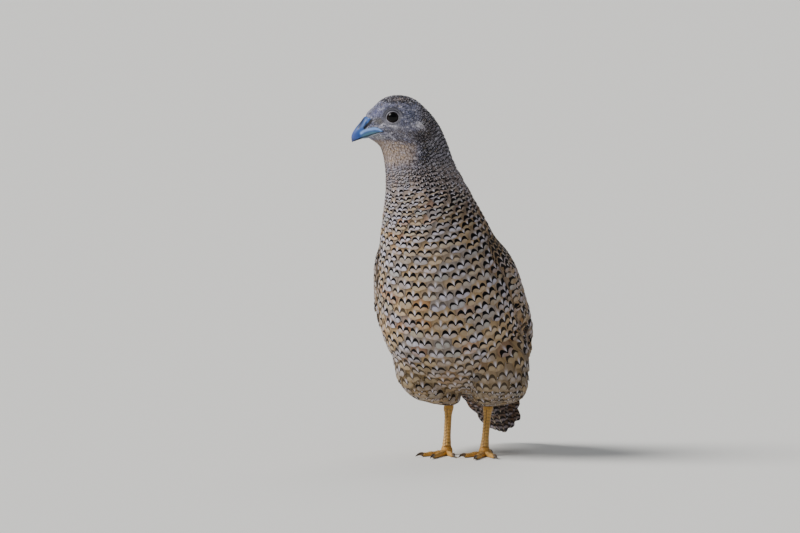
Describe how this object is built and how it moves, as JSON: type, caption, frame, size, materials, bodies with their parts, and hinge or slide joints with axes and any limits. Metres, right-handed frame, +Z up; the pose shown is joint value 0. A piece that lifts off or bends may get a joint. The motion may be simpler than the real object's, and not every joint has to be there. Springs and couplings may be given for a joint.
{
  "type": "brown quail",
  "caption": "Life-size brown quail standing upright and alert, its head turned to its right, with folded wings, short hanging tail and bare yellow legs.",
  "frame": {"origin": "on the floor, under the middle of the bird's bounding box", "axes": "+Z up; the body faces -Y, the bird's left side is +X, and the head is turned 70 degrees to the bird's right, towards -X"},
  "size_m": [0.074, 0.1072, 0.1686],
  "materials": {
    "body_feathers": "matte barred feathers",
    "wing_feathers": "matte streaked feathers",
    "face_feathers": "fine matte feathers",
    "bill_horn": "satin horn",
    "eye": "wet gloss",
    "leg_skin": "scaled skin",
    "claw_horn": "satin horn"
  },
  "bodies": {
    "root": {"torso": "body_feathers", "neck": "body_feathers", "head": "face_feathers", "tail": "wing_feathers", "bill_upper": "bill_horn", "bill_lower": "bill_horn", "eye_left": "eye", "eye_right": "eye", "wing_left": "wing_feathers", "wing_right": "wing_feathers", "thigh_left": "body_feathers", "thigh_right": "body_feathers", "tarsus_left": "leg_skin", "tarsus_right": "leg_skin", "foot_left": "leg_skin", "foot_right": "leg_skin", "claw_left_inner": "claw_horn", "claw_left_middle": "claw_horn", "claw_left_outer": "claw_horn", "claw_left_hind": "claw_horn", "claw_right_inner": "claw_horn", "claw_right_middle": "claw_horn", "claw_right_outer": "claw_horn", "claw_right_hind": "claw_horn"}
  },
  "joints": []
}
